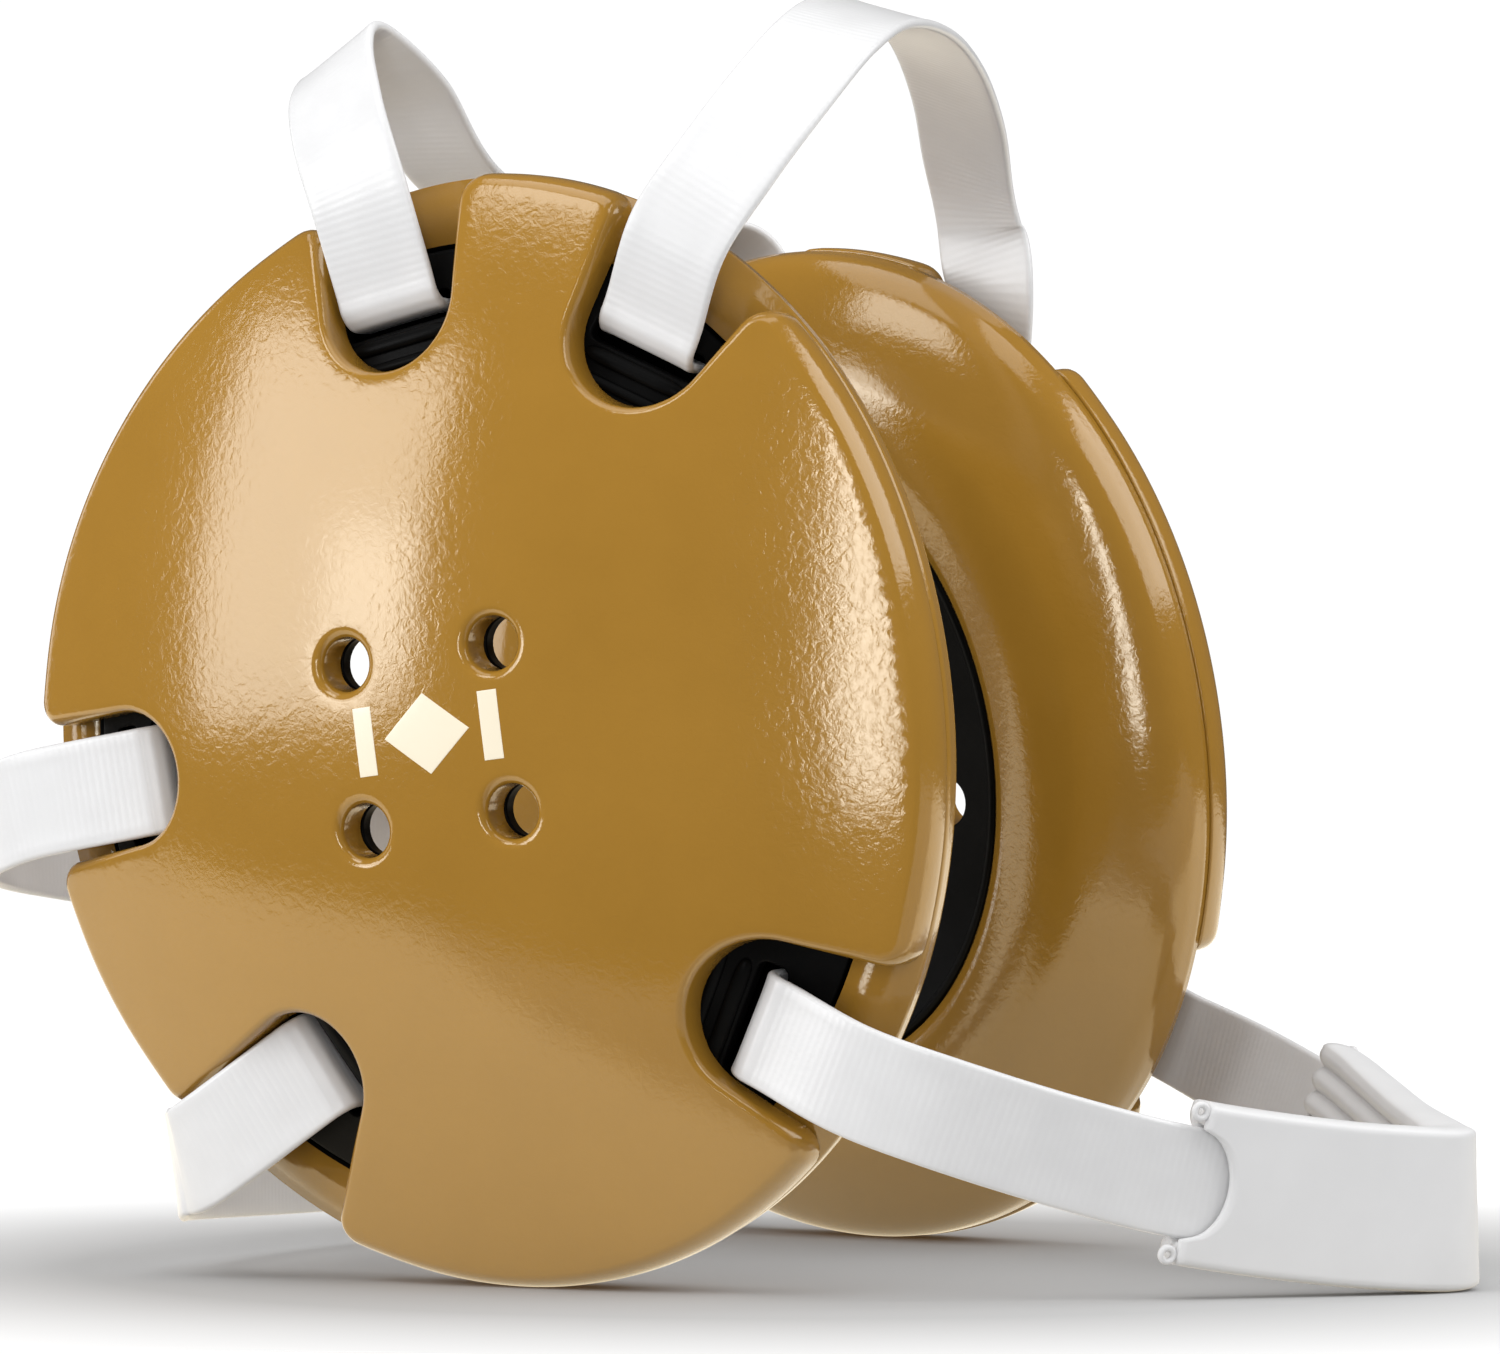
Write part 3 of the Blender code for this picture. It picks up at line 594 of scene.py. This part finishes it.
for guard in GUARDS:
    rows = cushion_rows(guard)
    cushion = make_piece(f"ear_cushion_{guard}", [wrap(rows)], gold_skin)
    # The recess that the flange lies in, from the second row to the sixth, is the cup's black
    cushion.data.materials.append(black_plastic)
    count = rows.shape[1]
    for face in cushion.data.polygons[count:5 * count]:
        face.material_index = 1
    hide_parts(f"cushion_ring_{guard}")
    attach(cushion, "root")

# Straps. Five lengths of white coated webbing join the guards. Each comes up through its
# slot, turns over the flange and leaves by its notch; the edges are rounded and glossy.

STRAP_WIDTH, STRAP_THICKNESS, RIB_SPACING = 15.0, 1.4, 1.1
STRAP_STEPS, FACE_HOLLOW = 14, 0.1

# How a strap comes up through its slot and turns over the flange: how far on from the
# slot's middle, and how high over the flange's face
STRAP_RISE = [(0.0, -CUP_THICKNESS - 2.2), (0.0, -CUP_THICKNESS / 2.0), (0.35, 0.4), (1.9, 1.55),
              (5.0, 1.9)]

# The free stretch of each strap from the right guard to the left one, measured from the
# floor under the right guard's middle: x, y, z, then the direction across
STRAP_ROUTES = {
    "crown_rear": [
        (-19.0, -9.4, 157.0, 14.4, -0.8, 4.8),
        (-24.2, -2.0, 165.2, 13.4, -1.2, 7.2),
        (-26.0, 6.0, 168.4, 13.0, -3.0, 7.2),
        (-24.4, 19.0, 164.0, 13.6, -4.4, 4.0),
        (-24.0, 34.0, 154.0, 14.2, -4.0, 1.6),
        (-23.6, 60.0, 147.6, 14.6, -3.0, 0.6),
        (-23.6, 84.0, 147.0, 14.7, -2.6, 0.4),
        (-24.0, 100.0, 149.4, 14.7, -1.5, 0.2),
        (-23.4, 109.6, 151.4, 14.8, -1.5, 2.0),
    ],
    "crown_front": [
        (39.0, -8.0, 149.6, 13.8, 0.4, -5.8),
        (43.2, -1.0, 159.2, 13.9, 0.6, -5.4),
        (45.0, 10.0, 167.8, 14.2, 0.5, -4.6),
        (43.6, 25.0, 172.8, 14.4, 0.4, -4.2),
        (40.4, 46.0, 174.2, 14.3, 0.2, -4.6),
        (36.2, 66.0, 171.6, 14.2, 0.0, -4.6),
        (31.4, 84.0, 165.8, 14.4, -0.4, -4.2),
        (27.0, 97.5, 158.4, 14.6, -1.0, -3.8),
        (26.2, 103.6, 151.0, 14.5, -1.3, -4.2),
    ],
    "back_upper": [
        (-78.0, -3.8, 62.2, 2.6, 0.0, -14.7),
        (-84.8, 7.0, 60.8, 2.4, 0.0, -14.8),
        (-87.8, 24.0, 59.2, 1.6, 0.0, -14.9),
        (-87.8, 50.0, 57.4, 0.6, 0.0, -15.0),
        (-86.4, 82.0, 58.4, -0.4, 0.6, -15.0),
        (-84.2, 110.0, 61.6, -0.8, 1.6, -14.9),
        (-79.4, 128.6, 63.6, -1.8, 2.0, -14.8),
    ],
    "back_lower": [
        (-46.9, -3.2, 15.7, 4.6, -2.0, -14.0),
        (-51.0, 3.4, 14.5, 3.4, -2.4, -14.2),
        (-56.2, 16.0, 13.9, 1.6, -0.6, -14.9),
        (-58.8, 44.0, 13.0, 0.2, 0.0, -15.0),
        (-58.4, 76.0, 12.2, 0.0, 0.0, -15.0),
        (-54.6, 106.0, 10.8, -2.0, 0.6, -14.8),
        (-46.2, 128.6, 10.6, -7.0, 2.2, -13.2),
    ],
    "chin": [
        (67.6, -3.0, 25.0, -5.0, 0.0, -14.1),
        (80.6, 7.6, 19.8, -4.2, 0.0, -14.4),
        (92.6, 21.0, 15.4, -3.0, -0.8, -14.7),
        (106.6, 36.0, 12.4, -1.8, -0.8, -14.9),
        (116.2, 46.6, 11.2, -0.8, -0.4, -15.0),
        (118.8, 52.6, 11.07, -0.2, 0.6, -15.0),
        (115.6, 58.8, 11.5, 0.6, 0.6, -15.0),
        (104.4, 72.0, 13.6, -0.6, -1.4, -14.9),
        (93.6, 85.0, 17.0, -2.2, -1.6, -14.8),
        (83.6, 95.6, 20.6, -3.6, -1.4, -14.5),
        (69.0, 108.4, 25.2, -4.4, -0.4, -14.3),
    ],
}
ROUTE_START = np.array([*GUARDS["right"]["centre"][:2], 0.0])


def distance_to_rim(start, direction):
    """How far it is from a point of the plan to the rim, found by halving."""
    near, far = 0.0, 120.0
    for _ in range(40):
        middle = (near + far) / 2.0
        inside = dome(*(start + middle * direction)) > EDGE_HEIGHT
        near, far = (middle, far) if inside else (near, middle)
    return near


def strap_end(guard, notch):
    """A strap's last rows, from under its bar, up through the slot and out to the rim."""
    side = GUARDS[guard]["side"]
    along, across = strap_heading(notch, side)
    exit_height = NOTCHES[notch]["exit"][0 if side > 0 else 1]
    start = np.array(NOTCHES[notch]["slot"])
    flange = float(cup_top(*start))
    reach = distance_to_rim(start, along)
    rows = np.array([(ahead, flange + rise) for ahead, rise in STRAP_RISE] + [(reach, exit_height)])
    u, v = start[:, None] + along[:, None] * rows[:, 0]
    middle = on_guard(guard, u, v, rows[:, 1])
    sideways = on_guard(guard, *(start + across), flange) - on_guard(guard, *start, flange)
    return middle, np.tile(sideways, (len(rows), 1))


def strap_line(notch):
    """Middle line, direction across and direction through, for every station."""
    near, near_side = strap_end("right", notch)
    far, far_side = strap_end("left", notch)
    rows = np.array(STRAP_ROUTES[notch])
    free, free_side = rows[:, :3] + ROUTE_START, rows[:, 3:]
    near_side *= np.sign(near_side[-1] @ free_side[0])
    far_side *= np.sign(far_side[-1] @ free_side[-1])
    middle = through_rows(np.vstack([near, free, far[::-1]]), STRAP_STEPS)
    unit = free_side / np.linalg.norm(free_side, axis=1)[:, None]
    across = through_rows(np.vstack([near_side, unit, far_side[::-1]]), STRAP_STEPS)
    along = np.gradient(middle, axis=0)
    along /= np.linalg.norm(along, axis=1)[:, None]
    across -= along * (across * along).sum(axis=1)[:, None]
    across /= np.linalg.norm(across, axis=1)[:, None]
    return middle, across, np.cross(along, across)


def webbing_section():
    """A flat band's outline: two long faces, slightly hollow, and two round edges. The hollow
    fades towards the edges as a sixth power."""
    flat = STRAP_WIDTH / 2.0 - STRAP_THICKNESS / 2.0
    turn = np.linspace(-np.pi / 2.0, np.pi / 2.0, 9)
    edge = np.stack([flat + STRAP_THICKNESS / 2.0 * np.cos(turn),
                     STRAP_THICKNESS / 2.0 * np.sin(turn)], axis=1)
    long = np.linspace(flat, -flat, 12)[1:-1]
    face = np.stack([long, STRAP_THICKNESS / 2.0 - FACE_HOLLOW * (1.0 - (long / flat) ** 6)], axis=1)
    return np.vstack([edge, face, -edge, -face])


def carry(line, section):
    """Carries a closed outline (across, through) along a line; both ends are closed flat."""
    middle, across, through = line
    return tube(middle[:, None] + across[:, None] * section[None, :, :1]
                + through[:, None] * section[None, :, 1:])


# White webbing: coated cloth with a soft gloss, a faint grain and fine ribs across it, which
# are sine waves on the run along the strap that fade in and out in patches
white_webbing, tree, shader = new_material("white_webbing", roughness=0.3)
cloud = noise(tree, scale=160.0, detail=4.0)
tone = ramp_node(tree, cloud, [(0.3, (0.64, 0.64, 0.645)), (0.7, (0.67, 0.67, 0.675))])
tree.links.new(tone.outputs["Color"], shader.inputs["Base Color"])
run = add_node(tree, "ShaderNodeAttribute", attribute_name="run")
turns = calculate(tree, "MULTIPLY", run.outputs["Fac"], 2.0 * np.pi / RIB_SPACING)
patches = calculate(tree, "MULTIPLY", calculate(tree, "SINE", turns), cloud)
ribs = bump(tree, patches, strength=0.25, distance=0.00006)
grain = bump(tree, noise(tree, scale=900.0, detail=3.0), strength=0.25, distance=0.00008, Normal=ribs)
tree.links.new(grain, shader.inputs["Normal"])

STRAP_NAMES = {"crown_front": "crown_strap_front", "crown_rear": "crown_strap_rear",
               "back_upper": "back_strap_upper", "back_lower": "back_strap_lower",
               "chin": "chin_strap"}
for notch, node in STRAP_NAMES.items():
    line, section = strap_line(notch), webbing_section()
    strap = make_piece(f"webbing_{notch}", [carry(line, section)], white_webbing,
                       np.repeat(running_length(line[0]), len(section)))
    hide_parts(node)
    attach(strap, "root")

# Chin cup. A soft white moulded sleeve that the chin strap runs through: smooth outside,
# ribbed towards the chin, with its outer wall cut back in a round at each end.

# The rows of the chin strap's route between which the sleeve lies, counted from 0
CHIN_CUP_ROWS = (2, 9)
CHIN_CUP_HEIGHT, CHIN_CUP_WALL = 22.0, 1.4
CHIN_ROOM = ((STRAP_WIDTH + 0.8) / 2.0, (STRAP_THICKNESS + 0.7) / 2.0)
CHIN_CORNER = 1.3
RIBS, RIB_HEIGHT, RIB_POWER, CORNER_POWER = 6, 1.5, 0.7, 0.6
END_CUT_DEPTH, END_CUT_HALF, END_BULGE = 5.5, 7.2, 0.35


def chin_sections():
    """Inner and outer outline of the sleeve, point for point, as (across, through).
    The outer face is flat and its corners follow a power of a sine; the chin face rises in
    ribs, as a power of a row of half waves."""
    half, inner_half = CHIN_CUP_HEIGHT / 2.0, CHIN_ROOM[0]
    flat = half - CHIN_CORNER
    outer_side = -CHIN_ROOM[1] - CHIN_CUP_WALL
    valley = CHIN_ROOM[1] + CHIN_CUP_WALL
    across = np.linspace(-flat, flat, 121)
    wave = np.abs(np.sin(np.pi * (across + half) / (CHIN_CUP_HEIGHT / RIBS)))
    ribs = np.stack([across, valley + RIB_HEIGHT * wave ** RIB_POWER], axis=1)
    turn = np.linspace(0.0, np.pi, 15)[1:-1]
    middle = (ribs[-1, 1] + outer_side) / 2.0
    depth = (ribs[-1, 1] - outer_side) / 2.0
    right = np.stack([flat + CHIN_CORNER * np.sin(turn) ** CORNER_POWER,
                      middle + depth * np.cos(turn)], axis=1)
    plain = np.stack([np.linspace(flat, -flat, 61), np.full(61, outer_side)], axis=1)
    left = right[::-1] * [-1.0, 1.0]
    outer = np.vstack([ribs, right, plain, left])
    inner = np.column_stack([np.clip(outer[:, 0], -inner_half, inner_half),
                             np.clip(outer[:, 1], -CHIN_ROOM[1], CHIN_ROOM[1])])
    return inner, outer


def sleeve(line, first, last):
    """The sleeve along stations first to last. Each outline point has its own start and end,
    so that the outer wall can be cut back in an arc."""
    middle, across, through = line
    inner, outer = chin_sections()
    run = running_length(middle)
    begin, end = run[first], run[last]
    on_outer = outer[:, 1] < -CHIN_ROOM[1]
    arc = np.sqrt(np.maximum(1.0 - (outer[:, 0] / END_CUT_HALF) ** 2, 0.0))
    cut_back = END_CUT_DEPTH * arc * on_outer

    def ring(share, section, grow=0.0):
        at = begin + cut_back + share * (end - begin - 2.0 * cut_back) + grow
        parts = [np.stack([np.interp(at, run, axis) for axis in field.T], axis=1)
                 for field in (middle, across, through)]
        return parts[0] + parts[1] * section[:, :1] + parts[2] * section[:, 1:]

    blend = (inner + outer) / 2.0
    rows = [ring(share, outer) for share in np.linspace(0.0, 1.0, 90)]
    rows.append(ring(1.0, blend, END_BULGE))
    rows += [ring(share, inner) for share in np.linspace(1.0, 0.0, 60)]
    rows.append(ring(0.0, blend, -END_BULGE))
    return wrap(np.stack(rows))


# Soft white moulding: matt, with a faint cloudiness
soft_moulding, tree, shader = new_material("soft_white_moulding", roughness=0.5)
cloud = noise(tree, scale=90.0, detail=5.0)
tone = ramp_node(tree, cloud, [(0.3, (0.63, 0.63, 0.635)), (0.7, (0.66, 0.66, 0.665))])
tree.links.new(tone.outputs["Color"], shader.inputs["Base Color"])
tree.links.new(bump(tree, cloud, strength=0.25, distance=0.0002), shader.inputs["Normal"])

EYELET_RADIUS, EYELET_SECTION = 0.9, (0.45, 0.5)


def eyelet(line, station, sideways):
    """A small ring of oval section that lies in the outer wall, at a corner of the sleeve."""
    middle, across, through = (field[station] for field in line)
    along = np.cross(through, across)
    round_ring = full_turn(28)[:, None, None]
    a = full_turn(12)[None, :, None]
    centre = middle + across * sideways - through * (CHIN_ROOM[1] + CHIN_CUP_WALL / 2.0)
    reach = EYELET_RADIUS + EYELET_SECTION[0] * np.cos(a)
    return wrap(centre + reach * (np.cos(round_ring) * along + np.sin(round_ring) * across)
                + EYELET_SECTION[1] * np.sin(a) * through)


rows_before = len(strap_end("right", "chin")[0])
first, last = ((rows_before + row) * STRAP_STEPS for row in CHIN_CUP_ROWS)
chin_line = strap_line("chin")
corner = CHIN_CUP_HEIGHT / 2.0 - EYELET_RADIUS - EYELET_SECTION[0]
eyelets = [eyelet(chin_line, station, sideways)
           for station in (first - 1, last + 1) for sideways in (-corner, corner)]
chin_piece = make_piece("chin_sleeve", [sleeve(chin_line, first, last), *eyelets], soft_moulding)
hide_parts("chin_cup")
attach(chin_piece, "root")

# Floor, light and camera. A white table under the object ends just outside the picture.
# Near the object it is grey, as painted shade round the base over its real shadows; further
# out it glows white for the camera, and where it is mirrored it glows as a painted reflection.
# The surround is white for the camera, softer as light and dim where it is mirrored. Soft
# boxes stand where the glossy skin mirrors them.

TABLE = [(-0.7, -0.215), (-0.1, -0.205), (0.06, -0.145), (0.9, -0.145), (0.9, 1.2), (-0.7, 1.2)]
# The table glows for the camera from a grey near the object to white, between these
# distances from the frame's middle. The grey near the object is painted shade round its
# base, added to its real shadows, and the white further out is glow, not lamplight.
FADE_START, FADE_END, SEEN_GLOW = 0.1, 0.21, 0.6
# Where it is mirrored it glows warmly, but only behind a slanted line, as a table's edge
# cuts it off. This glow, seen only in reflections, is a painted reflection in the gold skin.
EDGE_DIRECTION, EDGE_START, EDGE_END, PAINTED_REFLECTION_GLOW = (-0.61, 0.79, 0.0), -0.1, -0.09, 1.15
floor_mesh = bpy.data.meshes.new("floor")
floor_mesh.from_pydata([(x, y, 0.0) for x, y in TABLE], [], [tuple(range(len(TABLE)))])
floor = add_object("floor", floor_mesh)
floor_paint, tree, shader = new_material("white_floor", roughness=0.8, gloss=0.0)
# A grey base colour: near the object, where no glow is added, it shows as painted shade
shader.inputs["Base Color"].default_value = (0.42, 0.42, 0.42, 1.0)
place = add_node(tree, "ShaderNodeTexCoord")
# Distance from the middle sets the camera glow: none near the object, which leaves painted shade
# there, rising to white
away = add_node(tree, "ShaderNodeVectorMath", {0: place.outputs["Object"]}, operation="LENGTH")
fade = add_node(tree, "ShaderNodeMapRange", {"Value": away.outputs["Value"], "From Min": FADE_START,
                                             "From Max": FADE_END, "To Max": SEEN_GLOW})
behind = add_node(tree, "ShaderNodeVectorMath", {0: place.outputs["Object"], 1: EDGE_DIRECTION},
                  operation="DOT_PRODUCT")
# The painted reflection's glow, cut off behind a slanted line
cut = add_node(tree, "ShaderNodeMapRange", {"Value": behind.outputs["Value"], "From Min": EDGE_START,
                                            "From Max": EDGE_END, "To Max": PAINTED_REFLECTION_GLOW})
ray = add_node(tree, "ShaderNodeLightPath").outputs
plain = calculate(tree, "MULTIPLY", ray["Is Camera Ray"], fade.outputs["Result"])
# Camera glow plus, for glossy rays, the painted reflection's glow
painted_glow = calculate(tree, "MULTIPLY_ADD", ray["Is Glossy Ray"], cut.outputs["Result"], plain)
# Warm tint of the painted reflection, white for the camera
painted_reflection_tint = ramp_node(tree, ray["Is Glossy Ray"], [(0.0, (1.0, 1.0, 1.0)), (1.0, (1.0, 0.85, 0.58))])
tree.links.new(painted_reflection_tint.outputs["Color"], shader.inputs["Emission Color"])
tree.links.new(painted_glow, shader.inputs["Emission Strength"])
floor_mesh.materials.append(floor_paint)

# Strength of the surround for the camera, as light on the object, and where it is mirrored
SEEN, CAST, MIRRORED = 1.05, 0.75, 0.1
world = bpy.data.worlds.new("white_surround")
world.use_nodes = True
tree = world.node_tree
ray = add_node(tree, "ShaderNodeLightPath").outputs
seen = calculate(tree, "MULTIPLY_ADD", ray["Is Camera Ray"], SEEN - CAST, CAST)
strength = calculate(tree, "MULTIPLY_ADD", ray["Is Glossy Ray"], MIRRORED - CAST, seen)
tree.nodes["Background"].inputs["Color"].default_value = (1.0, 1.0, 1.0, 1.0)
tree.links.new(strength, tree.nodes["Background"].inputs["Strength"])
bpy.context.scene.world = world

# The right pad's middle, in metres, which the soft boxes face
PAD_MIDDLE = np.array([-0.016, -0.07, 0.075])

# Name, azimuth, elevation, width and height in degrees, radiance, distance in metres
SOFT_BOXES = [("main_box", -44.0, 12.5, 27.0, 29.0, 5.0, 1.5),
              ("main_box_core", -36.0, 7.5, 11.0, 12.0, 2.8, 1.48),
              ("high_box", -24.0, 47.0, 20.0, 18.0, 4.4, 1.5),
              ("right_strip", 20.0, 8.0, 6.0, 32.0, 9.6, 1.5),
              ("left_box", -95.0, 5.0, 20.0, 50.0, 1.9, 1.5),
              ("ceiling", 0.0, 88.0, 50.0, 50.0, 1.6, 1.5),
              ("rear_right_box", 106.0, 36.0, 50.0, 32.0, 2.8, 1.5)]


def soft_box(name, azimuth, elevation, wide, high, radiance, distance):
    """A soft box seen from the right pad's middle at an azimuth (0 straight out of the pad,
    positive to the front) and an elevation, and so many degrees wide and high. Its power is
    pi times its area times its radiance."""
    side, up = np.radians([azimuth, elevation])
    towards = np.array([np.sin(side) * np.cos(up), -np.cos(side) * np.cos(up), np.sin(up)])
    data = bpy.data.lights.new(name, "AREA")
    data.shape = "RECTANGLE"
    data.size = 2.0 * distance * np.tan(np.radians(wide / 2.0))
    data.size_y = 2.0 * distance * np.tan(np.radians(high / 2.0))
    data.energy = np.pi * data.size * data.size_y * radiance
    lamp = add_object(name, data)
    level = np.array([np.cos(side), np.sin(side), 0.0])
    matrix = np.eye(4)
    matrix[:3, :3] = np.stack([level, np.cross(towards, level), towards], axis=1)
    matrix[:3, 3] = PAD_MIDDLE + towards * distance
    lamp.matrix_world = Matrix(matrix.tolist())


for box in SOFT_BOXES:
    soft_box(*box)

CAMERA_AZIMUTH, CAMERA_PITCH, CAMERA_ROLL = np.radians([25.82, -1.355, 0.14])
CAMERA_PLACE, CAMERA_LENS, SENSOR_WIDTH = (0.38404, -0.80534, 0.06222), 150.42, 36.0
back = np.array([np.sin(CAMERA_AZIMUTH) * np.cos(CAMERA_PITCH),
                 -np.cos(CAMERA_AZIMUTH) * np.cos(CAMERA_PITCH), np.sin(CAMERA_PITCH)])
level = np.array([np.cos(CAMERA_AZIMUTH), np.sin(CAMERA_AZIMUTH), 0.0])
rise = np.cross(back, level)
camera_data = bpy.data.cameras.new("camera")
camera_data.sensor_fit = "HORIZONTAL"
camera_data.sensor_width = SENSOR_WIDTH
camera_data.lens = CAMERA_LENS
camera_data.clip_start = 0.01
camera = add_object("camera", camera_data)
matrix = np.eye(4)
matrix[:3, 0] = np.cos(CAMERA_ROLL) * level + np.sin(CAMERA_ROLL) * rise
matrix[:3, 1] = -np.sin(CAMERA_ROLL) * level + np.cos(CAMERA_ROLL) * rise
matrix[:3, 2] = back
matrix[:3, 3] = CAMERA_PLACE
camera.matrix_world = Matrix(matrix.tolist())
bpy.context.scene.camera = camera
bpy.context.scene.view_settings.view_transform = "Standard"
